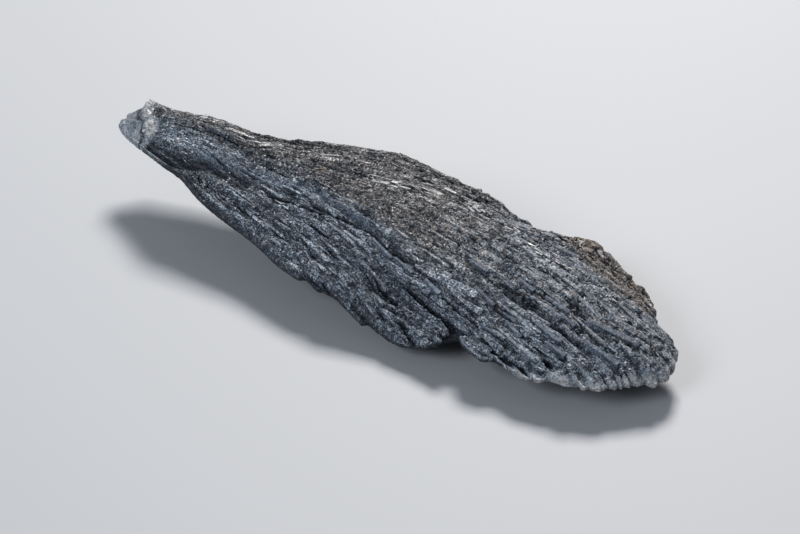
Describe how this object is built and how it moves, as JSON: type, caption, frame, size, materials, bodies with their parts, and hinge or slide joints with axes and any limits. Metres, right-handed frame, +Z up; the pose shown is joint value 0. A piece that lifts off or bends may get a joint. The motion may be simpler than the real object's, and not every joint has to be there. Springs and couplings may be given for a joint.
{
  "type": "taramite crystal",
  "caption": "Loose mineral specimen: a fan-shaped spray of dark blue-grey amphibole blades grown together, narrow at one end and broken off along a lobed rim.",
  "frame": {"origin": "on the surface that the specimen rests on, under the middle of its bounding box", "axes": "+X from the narrow tip to the broad end, +Y to the back edge, +Z up from the face it rests on"},
  "size_m": [0.066, 0.0221, 0.0098],
  "materials": {
    "taramite_stone": "dark blue-grey fibrous stone with a silky lustre, pale worn ridges and brown stains"
  },
  "bodies": {
    "root": {"taramite_crystal": "taramite_stone"}
  },
  "joints": []
}
